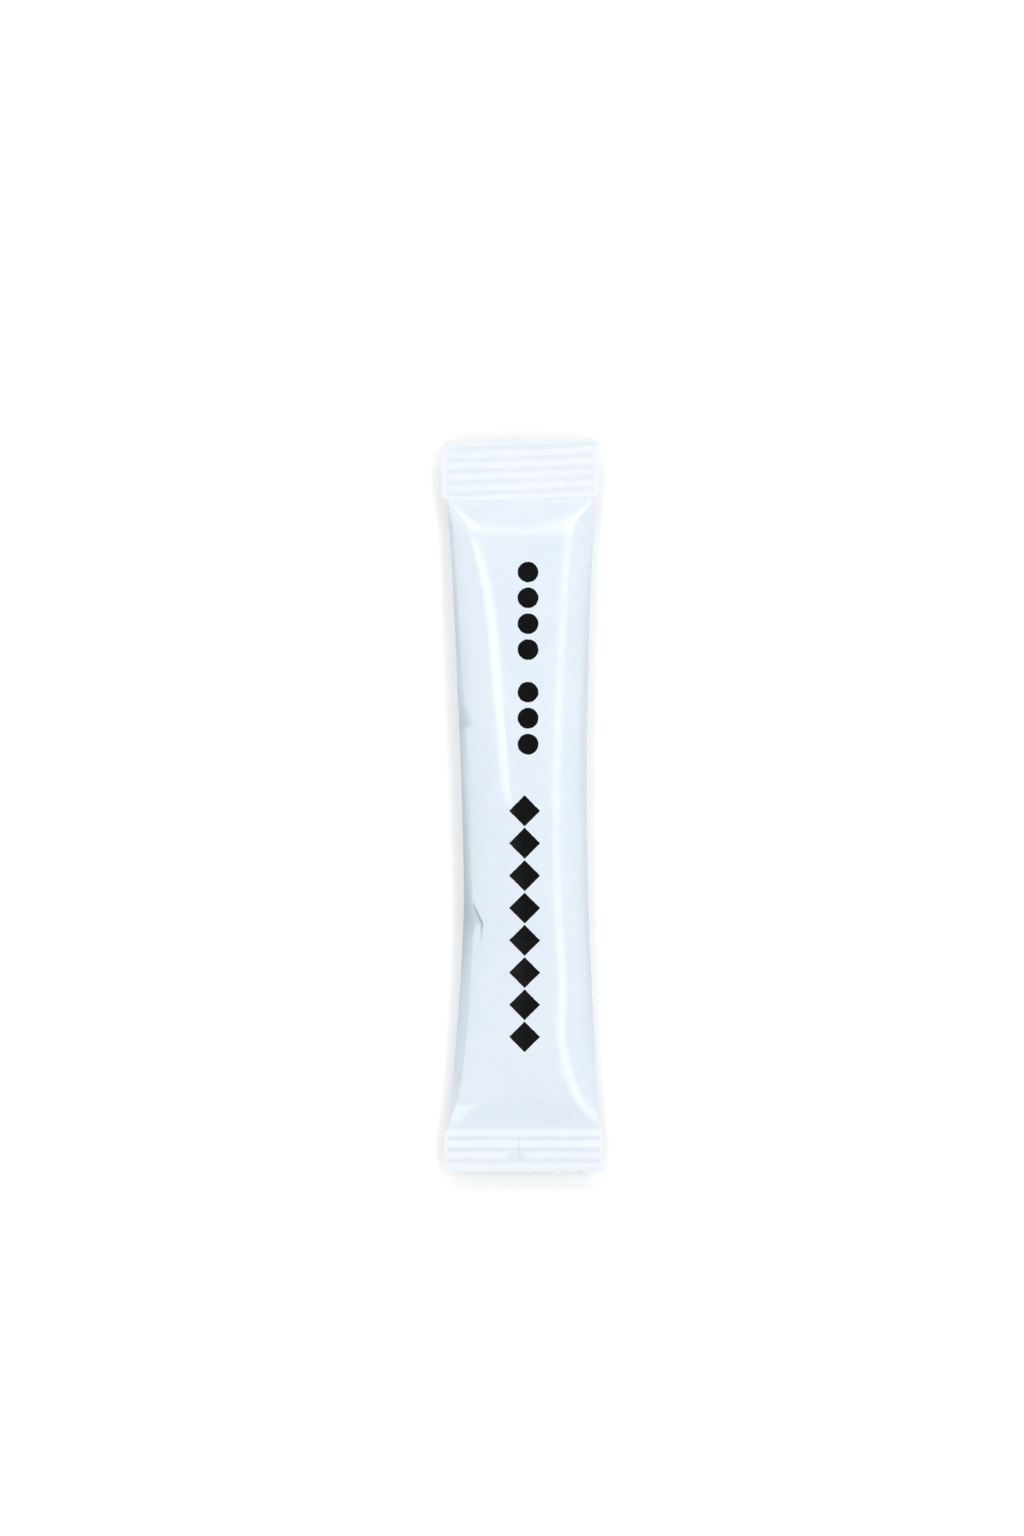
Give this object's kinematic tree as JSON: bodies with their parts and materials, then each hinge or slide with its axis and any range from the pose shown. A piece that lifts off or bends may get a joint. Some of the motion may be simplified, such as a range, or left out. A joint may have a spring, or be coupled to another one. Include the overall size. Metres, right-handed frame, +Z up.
{
  "type": "sugar sachet",
  "caption": "Filled stick sachet of sugar in glossy white film, crimped flat and tooth-cut at both ends, lying on its back seam.",
  "frame": {"origin": "on the surface the sachet lies on, under the middle of its outline", "axes": "+Y along the tube towards the end with the longer crimp, +X across it, +Z up from the surface"},
  "size_m": [0.0218, 0.1, 0.0083],
  "materials": {
    "film": "glossy white laminated film"
  },
  "bodies": {
    "root": {"sachet": "film"}
  },
  "joints": []
}
